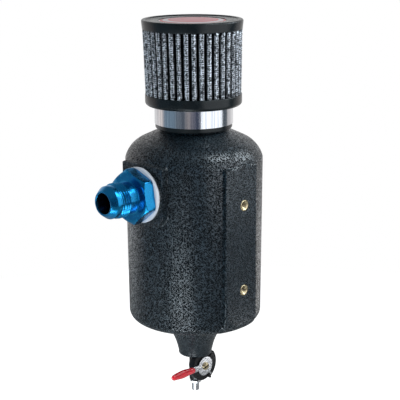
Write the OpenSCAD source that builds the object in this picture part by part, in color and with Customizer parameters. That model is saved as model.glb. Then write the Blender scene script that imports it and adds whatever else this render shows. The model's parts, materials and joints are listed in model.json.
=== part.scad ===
// Breather tank for an engine bay: a moulded tank that hangs on two threaded inserts,
// with a hose fitting on its side, a clamped vent filter on its neck and a drain valve below.
// Lengths are in millimetres. The origin is on the mounting face, midway between its two
// inserts; +Z is up, the mounting face looks along -Y and the hose fitting along -X.

/* [Tank] */
// Radius of the tank at the crease under its shoulder
body_r = 54; // [50:0.5:60]
// Height of the wall, from the underside to the crease
body_h = 132; // [128:1:150]
// Draft of the wall in degrees, which narrows it towards the foot
body_draft = 0.4; // [0.1:0.1:0.8]
// Radius of the round edge at the foot
foot_round = 7; // [4:0.5:9]
// Wall thickness of the moulding
wall = 3.5; // [3:0.25:4]
// Radius of the shoulder's round
shoulder_round = 22.6; // [20:0.2:25]
// Turn of the surface at the crease in degrees
crease_angle = 14.8; // [8:0.2:18]
// Slope of the shoulder's cone in degrees
shoulder_slope = 25; // [22:1:28]
// Outer radius of the neck that carries the filter
neck_r = 25.4; // [23:0.2:27]
// Height of the neck above the shoulder
neck_h = 19; // [17:0.5:24]

/* [Mounting pad] */
// Width of the flat pad that holds the inserts
pad_w = 33; // [28:1:38]
// Shift of the pad along X from the inserts' line
pad_shift = -3; // [-4:0.5:0]
// Radius of the pad's long edges
pad_edge = 2; // [1:0.25:3]
// Distance between the two inserts
insert_gap = 68; // [55:1:76]
// Height of the middle of the two inserts above the underside
insert_mid_h = 67.6; // [60:0.2:72]
// Outer radius of an insert
insert_r = 4.5; // [4:0.1:5]
// Length of an insert
insert_l = 11; // [9:0.5:13]
// Radius of an insert's threaded hole
insert_hole_r = 2.6; // [2.2:0.1:3]

/* [Hose fitting] */
// Height of the fitting's axis above the underside
port_h = 111.5; // [106:0.5:116]
// Rise of the fitting pad's face over the wall
port_rise = 1.5; // [1:0.25:3]
// Width of the fitting pad
port_pad_w = 42; // [40:1:46]
// Radius of the pad's lower corners
port_pad_round = 12; // [8:1:15]
// Height of the round boss between the pad and the washer
port_boss_h = 2.2; // [1.5:0.1:3]
// Radius of that boss
port_boss_r = 21.5; // [20:0.1:22]
// Outer radius of the threaded bung moulded into the pad
bung_r = 17; // [15.5:0.25:18]
// Radius of the thread that joins the fitting and the bung
port_thread_r = 13; // [12:0.25:14]
// Outer radius of the sealing washer
washer_r = 22.3; // [21:0.1:23]
// Thickness of the sealing washer
washer_t = 2.6; // [2:0.1:3.6]
// Width of the fitting's hexagon across its flats
hex_af = 35; // [33:0.5:37]
// Thickness of the fitting's hexagon
hex_t = 9.4; // [8:0.2:12]
// Turn of the hexagon about the fitting's axis in degrees
hex_turn = 9.5; // [0:0.5:30]
// Outer radius of the hose thread
hose_thread_r = 13.48; // [13:0.02:14]
// Distance from the hexagon to the start of the hose thread
thread_start = 7.6; // [5:0.2:9]
// Length of the hose thread
thread_l = 8.2; // [7:0.2:10]
// Length from the hexagon to the tip of the nose
nose_l = 25.1; // [23:0.1:30]
// Radius of the fitting's bore
port_bore_r = 7.75; // [6:0.25:8.5]

/* [Vent filter] */
// Height of the filter from the lip of its flange to its top
filter_h = 83.6; // [80:0.2:95]
// Overhang of the top cap past the pleats
cap_lip = 1.3; // [0.8:0.1:3]
// Height of the top cap
cap_h = 7.5; // [6:0.25:10]
// Overhang of the base cap past the pleats
base_lip = 0.7; // [0.4:0.1:2]
// Height of the base cap
base_h = 8.7; // [7:0.1:11]
// Outer radius of the rubber flange under the clamp
flange_r = 30; // [29:0.1:31]
// Number of pleats round the filter
pleats = 40; // [32:1:44]
// Radius over the pleats below the top cap
pleat_r = 37.6; // [37:0.1:38]
// Narrowing of the pleats from top to bottom
pleat_taper = 1; // [0.2:0.1:1.4]
// Depth of a pleat
pleat_depth = 8.6; // [6:0.2:9.5]
// Thickness of the folded filter cloth
cloth_t = 1; // [0.8:0.05:1.2]
// Radius of the domed disc in the top cap
disc_r = 26; // [22:0.5:30]

/* [Hose clamp] */
// Width of the clamp's band
band_w = 13.5; // [11:0.5:14.5]
// Thickness of the clamp's band
band_t = 0.6; // [0.5:0.05:0.8]
// Direction of the clamp's screw housing round the neck in degrees
clamp_turn = 12; // [-20:1:90]
// Length of the screw housing
housing_l = 14; // [12:0.5:17]
// Radius of the clamp's worm
worm_r = 3.2; // [2.8:0.1:3.5]
// Width of the screw's hexagonal head across its flats
clamp_head_af = 7; // [6:0.25:8]

/* [Drain] */
// Length of the drain boss below the tank
boss_h = 33.5; // [30:0.5:38]
// Radius of the drain boss at its end
boss_r = 13.6; // [12.5:0.1:15]
// Radius of the boss's hollow flare
boss_flare = 48; // [44:1:54]
// Outer radius of the threaded bung in the boss
drain_bung_r = 9; // [8:0.25:10]
// Length of that bung
drain_bung_l = 16; // [14:0.5:18]
// Radius of the thread that joins the valve and the bung
drain_thread_r = 4.9; // [4.6:0.1:5.2]

/* [Drain valve] */
// Depth of the valve's stem below the end of the boss
stem_drop = 9.3; // [8.5:0.1:12]
// Outer radius of the valve's barrel
barrel_r = 5; // [4.9:0.1:5.6]
// Radius of the ball
ball_r = 3.4; // [3:0.05:3.4]
// Radius of the passage through the valve
passage_r = 1.7; // [1.2:0.05:1.9]
// Radius of the drum that carries the lever
drum_r = 13; // [11:0.25:13.5]
// Distance from the barrel's axis to the drum's back
drum_back = 4.6; // [4:0.1:4.8]
// Distance from the barrel's axis to the drum's face
drum_face = 10.2; // [9.8:0.1:11.5]
// Radius of the valve's stem
stem_r = 2; // [1.8:0.05:2.2]
// Swing of the lever from shut to open in degrees
lever_swing = 90; // [80:1:90]
// Rise of the shut lever above level in degrees
lever_rise = 1.5; // [0:0.5:8]
// Radius of the lever's round hub
hub_r = 8; // [7:0.1:8]
// Length of the lever from the stem to its tip
lever_l = 38; // [32:0.5:44]
// Width of the lever's arm
arm_w = 5; // [4:0.25:5.5]
// Thickness of the lever's plate
plate_t = 1.2; // [1:0.1:1.6]
// Distance from the stem to the start of the lever's sleeve
sleeve_start = 13; // [12.8:0.2:15]
// Width of the sleeve at its thick end
sleeve_w = 7.6; // [6.6:0.2:8.4]
// Length of the outlet nipple below the valve
nipple_l = 9; // [7:0.1:12]
// Outer radius of the outlet nipple
nipple_r = 3.1; // [2.8:0.1:3.5]

/* [Hidden] */
$fn = 96;

// Clearance all round a turning shaft
run = 0.05;
// Gap between faces that pass each other
gap = 0.3;

// Derived places on the tank, as heights above its underside
foot_x = body_r - (foot_round + sin(body_draft) * (body_h - foot_round)) / cos(body_draft);
shoulder_x = body_r - shoulder_round * cos(crease_angle);
shoulder_z = body_h - shoulder_round * sin(crease_angle);
cone_x = shoulder_x + shoulder_round * sin(shoulder_slope);
cone_z = shoulder_z + shoulder_round * cos(shoulder_slope);
neck_foot_z = cone_z + (cone_x - neck_r) * tan(shoulder_slope);
neck_top_z = neck_foot_z + neck_h;
neck_bore_r = neck_r - wall + 0.3;
flare_x = boss_r + 0.4 + boss_flare * cos(10);
flare_z = 4 - boss_h - boss_flare * sin(10);
flare_top = asin(-flare_z / boss_flare);

// Faces of the fitting's pad and of its boss, from the tank's axis
port_face = body_r + port_rise;
port_seat = port_face + port_boss_h;

// Derived places on the drain
stem_z = -boss_h - stem_drop;
valve_top_z = -boss_h - gap;
funnel_floor_z = drain_bung_l - boss_h;

// Derived places on the filter
cap_r = pleat_r + cap_lip;
base_r = pleat_r - pleat_taper + base_lip;
base_bottom_z = neck_top_z;
base_top_z = base_bottom_z + base_h;
flange_len = neck_h - 1;
lip_z = base_bottom_z - flange_len;
filter_top_z = lip_z + filter_h;
cap_bottom_z = filter_top_z - cap_h;
cap_low_r = cap_r - 0.8;
band_low_z = base_bottom_z - 0.6 - band_w;
band_out_r = flange_r + band_t;

// Points of an arc from angle a0 to a1 in n steps
function arc(c, r, a0, a1, n) = [for (i = [0:n]) let (a = a0 + (a1 - a0) * i / n) c + r * [cos(a), sin(a)]];

// The tank's axis stands behind the mounting face
module on_axis(z = 0) {
    translate([0, body_r, z - insert_mid_h]) children();
}

// Local +Z runs along -X, from the tank's axis out through the hose fitting
module on_port() {
    on_axis(port_h) rotate([0, -90, 0]) children();
}

// Local +Z runs along -Y, from the valve's centre out through its stem
module on_stem() {
    on_axis(stem_z) rotate([90, 0, 0]) children();
}

module tube(r_out, r_in, h) {
    difference() {
        cylinder(h = h, r = r_out);
        translate([0, 0, -1]) cylinder(h = h + 2, r = r_in);
    }
}

// Outside of the moulding: drain boss, foot, drafted wall, shoulder, cone and neck
module tank_outside() {
    rotate_extrude($fn = 180) polygon(concat(
        [[0, -boss_h], [boss_r, -boss_h], [boss_r, 3 - boss_h]],
        arc([flare_x, flare_z], boss_flare, 170, 180 - flare_top, 10),
        arc([foot_x, foot_round], foot_round, -90, -body_draft, 8),
        arc([shoulder_x, shoulder_z], shoulder_round, crease_angle, 90 - shoulder_slope, 10),
        [[neck_r, neck_foot_z], [neck_r, neck_top_z], [0, neck_top_z]]));
}

// Inside of the moulding, down to the funnel over the drain
module tank_inside() {
    rotate_extrude($fn = 180) polygon(concat(
        [[0, funnel_floor_z], [drain_thread_r, funnel_floor_z], [boss_r - wall + 0.5, funnel_floor_z + 3]],
        arc([flare_x, flare_z], boss_flare + wall, 158, 180 - asin((wall - flare_z) / (boss_flare + wall)), 5),
        arc([foot_x, foot_round], foot_round - wall, -90, -body_draft, 4),
        arc([shoulder_x, shoulder_z], shoulder_round - wall, crease_angle, 90 - shoulder_slope, 8),
        [[neck_bore_r, cone_z - wall + (cone_x - neck_bore_r) * tan(shoulder_slope)],
         [neck_bore_r, neck_top_z + 1], [0, neck_top_z + 1]]));
}

// Flat pad along the wall, rounded at its long edges and over the foot
module mounting_pad() {
    intersection() {
        translate([pad_shift, 0, 0]) linear_extrude(height = body_h) polygon(concat(
            [[-pad_w / 2, -body_r / 2]],
            arc([pad_edge - pad_w / 2, pad_edge - body_r], pad_edge, 180, 270, 4),
            arc([pad_w / 2 - pad_edge, pad_edge - body_r], pad_edge, 270, 360, 4),
            [[pad_w / 2, -body_r / 2]]));
        rotate([90, 0, 90]) linear_extrude(height = 2 * pad_w, center = true) polygon(concat(
            [[-body_r / 2, 0]],
            arc([foot_round - body_r, foot_round], foot_round, 270, 180, 8),
            [[-body_r, body_h + 1], [-body_r / 2, body_h + 1]]));
    }
}

// Flat pad under the hose fitting, square above and round below
port_pad_up = 23;
port_pad_down = 24.5;
module port_pad() {
    w = port_pad_w / 2;
    translate([0, 0, port_h]) rotate([90, 0, -90]) linear_extrude(height = port_face) polygon(concat(
        arc([w - 2, port_pad_up - 2], 2, 0, 90, 4),
        arc([2 - w, port_pad_up - 2], 2, 90, 180, 4),
        arc([port_pad_round - w, port_pad_round - port_pad_down], port_pad_round, 180, 270, 8),
        arc([w - port_pad_round, port_pad_round - port_pad_down], port_pad_round, 270, 360, 8)));
}

// Lumps inside the wall that hold the inserts and the fitting's bung
insert_lump = 3;
bung_l = 14;
module inside_lumps() {
    for (side = [-1, 1]) {
        translate([0, -body_r, insert_mid_h + side * insert_gap / 2]) rotate([-90, 0, 0])
            cylinder(h = insert_l + insert_lump, r = insert_r + insert_lump);
    }
    translate([0, 0, port_h]) rotate([0, -90, 0]) translate([0, 0, port_seat - bung_l])
        cylinder(h = bung_l, r = bung_r + wall);
}

module tank_shell() {
    color("#2b3134") on_axis() difference() {
        union() {
            tank_outside();
            mounting_pad();
            port_pad();
            translate([0, 0, port_h]) rotate([0, -90, 0]) cylinder(h = port_seat, r = port_boss_r);
        }
        difference() {
            tank_inside();
            inside_lumps();
        }
        for (side = [-1, 1]) {
            translate([0, -body_r - 1, insert_mid_h + side * insert_gap / 2]) rotate([-90, 0, 0])
                cylinder(h = insert_l + 1, r = insert_r);
        }
        translate([0, 0, port_h]) rotate([0, -90, 0]) {
            translate([0, 0, port_seat - bung_l + wall]) cylinder(h = bung_l, r = bung_r);
            translate([0, 0, port_seat - 2 * bung_l]) cylinder(h = 2 * bung_l, r = port_thread_r);
        }
        translate([0, 0, -boss_h - 1]) cylinder(h = drain_bung_l + 1, r = drain_bung_r);
    }
}

// Brass insert with a blind threaded hole, flush with the mounting face
insert_floor = 2;
module insert_at(z) {
    color("#d8bd78") on_axis(z) rotate([90, 0, 0]) translate([0, 0, body_r - insert_l]) difference() {
        cylinder(h = insert_l, r = insert_r);
        translate([0, 0, insert_floor]) cylinder(h = insert_l, r = insert_hole_r);
    }
}

module insert_upper() insert_at(insert_mid_h + insert_gap / 2);
module insert_lower() insert_at(insert_mid_h - insert_gap / 2);

module port_bung() {
    color("silver") on_port() translate([0, 0, port_seat - bung_l + wall])
        tube(bung_r, port_thread_r, bung_l - wall);
}

// Hose fitting: shank, hexagon, neck, hose thread, collar and flared nose round one bore
nose_neck_r = 12;
nose_collar_r = 12.5;
nose_tip_r = 9.4;
nose_cone_l = 4.4;
module inlet_fitting() {
    hex_r = hex_af / 2 / cos(30);
    hex_z = port_seat + washer_t;
    thread_end = thread_start + thread_l;
    color("#1c6fae") on_port() difference() {
        union() {
            translate([0, 0, port_seat - bung_l + wall + 1]) cylinder(h = bung_l, r = port_thread_r - run);
            intersection() {
                translate([0, 0, hex_z]) rotate([0, 0, hex_turn]) cylinder(h = hex_t, r = hex_r, $fn = 6);
                translate([0, 0, hex_z]) rotate_extrude() polygon([
                    [0, 0], [hex_r - 1.4, 0], [hex_r + 0.1, 1], [hex_r + 0.1, hex_t - 1.6],
                    [hex_r - 2.6, hex_t], [0, hex_t]]);
            }
            translate([0, 0, hex_z + hex_t]) rotate_extrude() polygon([
                [0, -1], [nose_neck_r, -1], [nose_neck_r, thread_start - 1], [hose_thread_r, thread_start],
                [hose_thread_r, thread_end], [nose_neck_r, thread_end + 0.8], [nose_neck_r, thread_end + 1.2],
                [nose_collar_r, thread_end + 1.5], [nose_collar_r, nose_l - nose_cone_l],
                [nose_tip_r, nose_l], [0, nose_l]]);
        }
        cylinder(h = 120, r = port_bore_r);
    }
}

module sealing_washer() {
    color("#e6e8f5") on_port() translate([0, 0, port_seat]) tube(washer_r, port_thread_r, washer_t);
}

// Rubber base of the filter, moulded in one with the flange that the clamp squeezes
module filter_base() {
    color("#23292b") on_axis() rotate_extrude($fn = 180) polygon(concat(
        [[neck_r, lip_z]],
        arc([flange_r - 1.2, lip_z + 1.2], 1.2, -90, 0, 3),
        [[flange_r, base_bottom_z]],
        arc([base_r - 2, base_bottom_z + 2], 2, -90, 0, 5),
        arc([base_r - 0.6, base_top_z - 0.6], 0.6, 0, 90, 2),
        [[neck_bore_r, base_top_z], [neck_bore_r, base_bottom_z], [neck_r, base_bottom_z]]));
}

// Folded cloth: crests outside, folds inside, one ribbon of even thickness all round
module filter_pleats() {
    step = 360 / pleats;
    r_in = pleat_r - pleat_depth;
    half_crest = 1.75 / pleat_r * 180 / PI;
    half_fold = 0.35 / r_in * 180 / PI;
    wall_turn = cloth_t / pleat_r * 180 / PI;
    fold_turn = cloth_t / r_in * 180 / PI;
    outer = [for (i = [0:pleats - 1]) let (a = i * step) each [
        [pleat_r - pleat_depth, a - step / 2 + half_fold], [pleat_r - 1, a - half_crest],
        [pleat_r - 0.2, a - half_crest * 0.7], [pleat_r, a],
        [pleat_r - 0.2, a + half_crest * 0.7], [pleat_r - 1, a + half_crest],
        [pleat_r - pleat_depth, a + step / 2 - half_fold]]];
    inner = [for (i = [0:pleats - 1]) let (a = i * step) each [
        [r_in - cloth_t, a - step / 2 + half_fold + fold_turn],
        [pleat_r - cloth_t, a - half_crest + wall_turn],
        [pleat_r - cloth_t, a + half_crest - wall_turn],
        [r_in - cloth_t, a + step / 2 - half_fold - fold_turn]]];
    color("#8c9398") on_axis(base_top_z)
        linear_extrude(height = cap_bottom_z - base_top_z, scale = pleat_r / (pleat_r - pleat_taper))
        scale((pleat_r - pleat_taper) / pleat_r) difference() {
            polygon([for (p = outer) p[0] * [cos(p[1]), sin(p[1])]]);
            polygon([for (p = inner) p[0] * [cos(p[1]), sin(p[1])]]);
        }
}

// Rubber top cap with a raised rim and a shallow seat for the disc
seat_depth = 1.2;
rim_w = 3;
module filter_top_cap() {
    color("#23292b") on_axis() rotate_extrude($fn = 180) polygon(concat(
        [[0, cap_bottom_z], [cap_low_r - 0.5, cap_bottom_z], [cap_low_r, cap_bottom_z + 0.5]],
        arc([cap_r - 1, filter_top_z - 1], 1, 0, 90, 4),
        [[cap_r - rim_w, filter_top_z], [cap_r - rim_w - 0.8, filter_top_z - 0.8],
         [disc_r + 0.1, filter_top_z - 0.8], [disc_r + 0.1, filter_top_z - 0.8 - seat_depth],
         [0, filter_top_z - 0.8 - seat_depth]]));
}

// Shallow domed disc in the top cap
disc_dome = 1.1;
module cap_disc() {
    dome_r = (disc_r * disc_r + disc_dome * disc_dome) / (2 * disc_dome);
    span = asin(disc_r / dome_r);
    color("#f0c9cd") on_axis(filter_top_z - 0.8 - seat_depth) rotate_extrude($fn = 180) polygon(concat(
        [[0, 0], [disc_r, 0], [disc_r, 0.9]],
        arc([0, 0.9 + disc_dome - dome_r], dome_r, 90 - span, 90, 6)));
}

// Places of the clamp's worm, measured from the tank's axis and the band's lower edge
tail_r = band_out_r + band_t;
worm_x = tail_r + 0.2 + worm_r;
saddle_wall = 1.1;
collar_t = 0.8;
clamp_head_t = 3.6;

module on_clamp() {
    on_axis(band_low_z + band_w / 2) rotate([0, 0, clamp_turn]) children();
}

// Polished band round the flange, with its slotted tail under the housing
slots = 7;
module clamp_band() {
    color("#d9dadc") {
        on_axis(band_low_z) tube(band_out_r, flange_r, band_w);
        on_clamp() difference() {
            rotate([0, 0, -14]) rotate_extrude(angle = 58, $fn = 180)
                translate([flange_r + band_t / 2, -band_w / 2]) square([1.5 * band_t, band_w]);
            for (i = [0:slots - 1]) {
                rotate([0, 0, 19 + i * 3.2]) translate([tail_r, 0, 0]) rotate([10, 0, 0])
                    cube([3 * band_t, 0.8, band_w * 0.52], center = true);
            }
        }
    }
}

// Pressed saddle that holds the worm over the band
module clamp_housing() {
    color("#c4c6c9") on_clamp() difference() {
        union() {
            rotate([0, 0, -13]) rotate_extrude(angle = 26, $fn = 180)
                translate([tail_r, -band_w / 2 - 0.5]) square([0.7, band_w + 1]);
            translate([tail_r, -housing_l / 2, -worm_r - saddle_wall])
                cube([worm_x - tail_r, housing_l, 2 * (worm_r + saddle_wall)]);
            translate([worm_x, housing_l / 2, 0]) rotate([90, 0, 0])
                cylinder(h = housing_l, r = worm_r + saddle_wall);
        }
        translate([worm_x, housing_l / 2 - 1, 0]) rotate([90, 0, 0])
            cylinder(h = housing_l + 5, r = worm_r + run);
        cylinder(h = 4 * band_w, r = tail_r, center = true, $fn = 180);
    }
}

// Worm with its collar and slotted hexagonal head
module clamp_screw() {
    color("#b9bcc0") on_clamp() translate([worm_x, 0, 0]) rotate([90, 0, 0]) difference() {
        union() {
            translate([0, 0, 1.2 - housing_l / 2]) cylinder(h = housing_l - 1.2 + gap, r = worm_r);
            translate([0, 0, housing_l / 2 + gap]) cylinder(h = collar_t, r = clamp_head_af / 2 + 0.7);
            translate([0, 0, housing_l / 2 + gap]) rotate([0, 0, 8])
                cylinder(h = collar_t + clamp_head_t, r = clamp_head_af / 2 / cos(30), $fn = 6);
        }
        translate([-5, -0.6, housing_l / 2 + gap + collar_t + clamp_head_t - 1.3]) cube([10, 1.2, 2]);
    }
}

module drain_bung() {
    color("#c9a85a") on_axis(-boss_h) tube(drain_bung_r, drain_thread_r, drain_bung_l);
}

// Places inside the valve, measured from the middle of its ball
top_rel = stem_drop - gap;
barrel_down = 15.3;
shank_up = 11;
cavity_r = ball_r + 0.15;
seat_z = ball_r + 1.65;
collar_r = 2.9;
gland_z = 5.3;
gland_r = 3.1;
nut_z = 6.4;
nut_r = 4.4;
plate_z = drum_face + gap;
lug_r0 = hub_r + 1;
lug_r1 = 13.6;
lug_w = 1.6;
ear_w = 1.2;
ear_shut = -53;
ear_room = asin((lug_w + ear_w) / 2 / lug_r0) + 0.6;

// Valve casting: barrel, threaded shank, drum with its flat top, and the lever's two stops
module valve_body() {
    color("#141516") difference() {
        union() {
            on_axis(stem_z) {
                translate([0, 0, 1 - barrel_down]) cylinder(h = barrel_down - 1 + top_rel, r = barrel_r);
                translate([0, 0, -barrel_down]) cylinder(h = 2, r1 = barrel_r - 0.8, r2 = barrel_r);
                cylinder(h = stem_drop + shank_up, r = drain_thread_r - run);
            }
            on_stem() {
                cylinder(h = drum_back + 1, r = stem_drop - 1.6);
                intersection() {
                    union() {
                        translate([0, 0, drum_back]) rotate_extrude() polygon([
                            [0, 0], [drum_r - 1.2, 0], [drum_r, 1.2], [drum_r, drum_face - drum_back - 0.8],
                            [drum_r - 0.8, drum_face - drum_back], [0, drum_face - drum_back]]);
                        for (a = [ear_shut - ear_room, ear_shut + lever_swing + ear_room]) {
                            rotate([0, 0, a]) translate([lug_r0, -lug_w / 2, drum_back + 1])
                                cube([lug_r1 - lug_r0, lug_w, plate_z + plate_t - drum_back - 1]);
                        }
                    }
                    translate([-20, -20, 0]) cube([40, 20 + top_rel, 30]);
                }
            }
        }
        on_axis(stem_z) {
            translate([0, 0, -30]) cylinder(h = 60, r = passage_r);
            translate([0, 0, -30]) cylinder(h = 30 + seat_z, r = cavity_r);
        }
        on_stem() {
            cylinder(h = 4.7, r = collar_r + run);
            cylinder(h = 30, r = stem_r + run);
            translate([0, 0, gland_z]) cylinder(h = 30, r = gland_r);
            translate([0, 0, nut_z]) cylinder(h = 30, r = nut_r);
        }
    }
}

module valve_ball() {
    color("#d5d8da") on_stem() difference() {
        sphere(r = ball_r);
        rotate([0, 90, 0]) cylinder(h = 10, r = passage_r, center = true);
        translate([-4, -0.65, ball_r - 1.1]) cube([8, 1.3, 4]);
    }
}

module seat() {
    difference() {
        translate([0, 0, 2.2]) tube(cavity_r - run, passage_r, seat_z - 2.25);
        sphere(r = ball_r + run);
    }
}

module seat_upper() color("white") on_axis(stem_z) seat();
module seat_lower() color("white") on_axis(stem_z) mirror([0, 0, 1]) seat();

module valve_stem() {
    color("#c9a85a") on_stem() difference() {
        union() {
            translate([-1.1, -0.6, ball_r - 1]) cube([2.2, 1.2, 1.4]);
            translate([0, 0, 3.6]) cylinder(h = 1, r = collar_r);
            translate([0, 0, 4]) cylinder(h = plate_z - 4.1, r = stem_r);
            intersection() {
                translate([0, 0, 4]) cylinder(h = plate_z + plate_t - 4.1, r = stem_r);
                translate([-3, -1.55, 0]) cube([6, 3.1, 20]);
            }
        }
        translate([0, 0, plate_z + plate_t - 4]) cylinder(h = 10, r = 1.1);
    }
}

module stem_seal() {
    color("#1a1a1a") on_stem() translate([0, 0, (gland_z + nut_z) / 2])
        rotate_extrude() translate([(stem_r + gland_r) / 2, 0]) circle(r = 0.48, $fn = 24);
}

module packing_nut() {
    color("#c9a85a") on_stem() translate([0, 0, nut_z + run]) tube(nut_r - run, stem_r + run, drum_face - nut_z - 0.3);
}

// Plated lever: round hub, arm and the ear that meets the stops
module lever_plate() {
    color("#d7d9db") on_stem() translate([0, 0, plate_z]) linear_extrude(height = plate_t) difference() {
        union() {
            circle(r = hub_r);
            rotate(180 - lever_rise) translate([0, -arm_w / 2]) square([lever_l - 2, arm_w]);
            rotate(ear_shut) translate([0, -ear_w / 2]) square([hub_r + 3.4, ear_w]);
        }
        intersection() {
            circle(r = stem_r + run);
            square([6, 3.2], center = true);
        }
    }
}

// Dipped vinyl sleeve, thickest near the hub and round at its tip
sleeve_t = 4.4;
module lever_sleeve() {
    color("#cf2238") on_stem() translate([0, 0, plate_z + plate_t / 2]) rotate([0, 0, 180 - lever_rise]) difference() {
        hull() {
            translate([sleeve_start, 0, 0]) scale([1, sleeve_w / sleeve_t, 1]) rotate([0, 90, 0])
                cylinder(h = 0.8, r = sleeve_t / 2 - 0.4, $fn = 32);
            translate([sleeve_start + 1.6, 0, 0]) scale([1, sleeve_w / sleeve_t, 1]) rotate([0, 90, 0])
                cylinder(h = 1, r = sleeve_t / 2, $fn = 32);
            translate([lever_l - sleeve_w / 2 + 0.6, 0, 0]) scale([1.35, 1.35, 0.85])
                sphere(r = sleeve_t / 2, $fn = 32);
        }
        translate([0, -arm_w / 2 - run, -plate_t / 2 - run]) cube([lever_l - 2 + run, arm_w + 2 * run, plate_t + 2 * run]);
    }
}

// Slotted brass screw that holds the lever on the stem
module lever_screw() {
    color("#e0c46c") on_stem() translate([0, 0, plate_z + plate_t]) difference() {
        union() {
            rotate_extrude() polygon([[0, 0], [3.2, 0], [3.2, 0.7], [2.6, 1.4], [0, 1.6]]);
            translate([0, 0, -3.4]) cylinder(h = 4, r = 1.05);
        }
        rotate([0, 0, 16]) translate([-4, -0.4, 0.8]) cube([8, 0.8, 2]);
    }
}

// Plated outlet that closes the barrel, with a hexagon and a plain end for a small hose
nipple_hex_t = 1.8;
nipple_hex_af = 8;
nipple_lead = 0.5;
module outlet_nipple() {
    low = barrel_down + nipple_l;
    stub = nipple_l - nipple_hex_t + 0.2;
    color("#dfe1e3") on_axis(stem_z) difference() {
        union() {
            translate([0, 0, -barrel_down - 1]) cylinder(h = barrel_down + 1 - seat_z - run, r = cavity_r - run);
            translate([0, 0, -barrel_down - nipple_hex_t])
                cylinder(h = nipple_hex_t, r = nipple_hex_af / 2 / cos(30), $fn = 6);
            translate([0, 0, -low]) rotate_extrude() polygon([
                [0, 0], [nipple_r - nipple_lead, 0], [nipple_r, nipple_lead], [nipple_r, stub], [0, stub]]);
        }
        translate([0, 0, -low - 1]) cylinder(h = low + 1, r = passage_r);
    }
}

tank_shell();
insert_upper();
insert_lower();
port_bung();
inlet_fitting();
sealing_washer();
filter_base();
filter_pleats();
filter_top_cap();
cap_disc();
clamp_band();
clamp_housing();
clamp_screw();
drain_bung();
valve_body();
valve_ball();
seat_upper();
seat_lower();
valve_stem();
stem_seal();
packing_nut();
lever_plate();
lever_sleeve();
lever_screw();
outlet_nipple();
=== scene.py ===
import json
import math
import bmesh
import bpy
from mathutils import Matrix, Vector


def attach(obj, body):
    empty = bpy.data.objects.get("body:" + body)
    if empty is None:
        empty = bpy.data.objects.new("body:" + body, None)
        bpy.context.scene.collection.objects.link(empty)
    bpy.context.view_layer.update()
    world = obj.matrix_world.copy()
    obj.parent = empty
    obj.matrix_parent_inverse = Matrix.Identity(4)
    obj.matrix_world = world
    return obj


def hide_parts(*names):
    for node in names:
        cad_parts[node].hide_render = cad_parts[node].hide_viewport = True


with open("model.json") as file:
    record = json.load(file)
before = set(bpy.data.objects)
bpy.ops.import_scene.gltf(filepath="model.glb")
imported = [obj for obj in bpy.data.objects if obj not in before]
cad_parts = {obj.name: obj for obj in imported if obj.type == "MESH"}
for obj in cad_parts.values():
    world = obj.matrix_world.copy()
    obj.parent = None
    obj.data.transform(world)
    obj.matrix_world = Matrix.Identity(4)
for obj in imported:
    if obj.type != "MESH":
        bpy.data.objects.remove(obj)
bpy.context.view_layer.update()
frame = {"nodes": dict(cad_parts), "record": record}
nodes = frame["nodes"]
mm = 0.001
axisY = 54  # millimetres from the mounting face back to the tank's axis
foot = 67.6  # from the tank's underside up to the origin
portHeight = 111.5  # from the tank's underside up to the hose fitting's axis
stemDepth = 42.8  # from the tank's underside down to the valve's stem
insertReach = 34  # from the origin up and down to the two inserts
foldedWidth = 21.6  # cloth in one pleat, measured along its folds


def say(words):
    print("breather tank:", words)


def placed(name, data):
    made = bpy.data.objects.new(name, data)
    bpy.context.scene.collection.objects.link(made)
    return made


# Camera: between the hose fitting and the mounting pad, looking a little down
view = {
    "azimuth": -45.4, "pitch": 15, "roll": 0.3, "distance": 0.837, "aside": 0.0045, "height": 0.2527,
    "lens": 98.1, "film": 36}


def aimCamera(v):
    azimuth, pitch, roll = (math.radians(v[key]) for key in ("azimuth", "pitch", "roll"))
    away = Vector((math.sin(azimuth), -math.cos(azimuth), 0))
    right = Vector((math.cos(azimuth), math.sin(azimuth), 0))
    ahead = -away * math.cos(pitch) - Vector((0, 0, math.sin(pitch)))
    up = right.cross(ahead)
    across = right * math.cos(roll) - up * math.sin(roll)
    upward = up * math.cos(roll) + right * math.sin(roll)
    place = away * v["distance"] + right * v["aside"] + Vector((0, axisY * mm, v["height"]))
    data = bpy.data.cameras.new("camera")
    data.lens = v["lens"]
    data.sensor_width = v["film"]
    data.clip_start = 0.01
    camera = placed("camera", data)
    camera.matrix_world = Matrix((
        (across.x, upward.x, -ahead.x, place.x),
        (across.y, upward.y, -ahead.y, place.y),
        (across.z, upward.z, -ahead.z, place.z),
        (0, 0, 0, 1)))
    bpy.context.scene.camera = camera


aimCamera(view)
say("camera placed")


# A socket that takes part in sums, so that a pattern reads like its formula
class Signal:
    def __init__(self, tree, socket):
        self.tree = tree
        self.socket = socket

    def node(self, kind, inputs=None, out=0, **settings):
        made = self.tree.nodes.new(kind)
        for name, value in settings.items():
            setattr(made, name, value)
        for key, value in (inputs or {}).items():
            if isinstance(value, Signal):
                self.tree.links.new(value.socket, made.inputs[key])
            else:
                made.inputs[key].default_value = value
        return Signal(self.tree, made.outputs[out])

    def maths(self, operation, first, second=0.0, third=0.0):
        return self.node("ShaderNodeMath", {0: first, 1: second, 2: third}, operation=operation)

    def __add__(self, other):
        return self.maths("ADD", self, other)

    def __radd__(self, other):
        return self.maths("ADD", other, self)

    def __sub__(self, other):
        return self.maths("SUBTRACT", self, other)

    def __rsub__(self, other):
        return self.maths("SUBTRACT", other, self)

    def __mul__(self, other):
        return self.maths("MULTIPLY", self, other)

    def __rmul__(self, other):
        return self.maths("MULTIPLY", other, self)

    def __truediv__(self, other):
        return self.maths("DIVIDE", self, other)

    def __rtruediv__(self, other):
        return self.maths("DIVIDE", other, self)

    def to(self, socket):
        self.tree.links.new(self.socket, socket)


def axisOf(place, letter):
    return place.node("ShaderNodeSeparateXYZ", {0: place}, out="XYZ".index(letter))


def sizeOf(value):
    return value.maths("ABSOLUTE", value)


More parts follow.
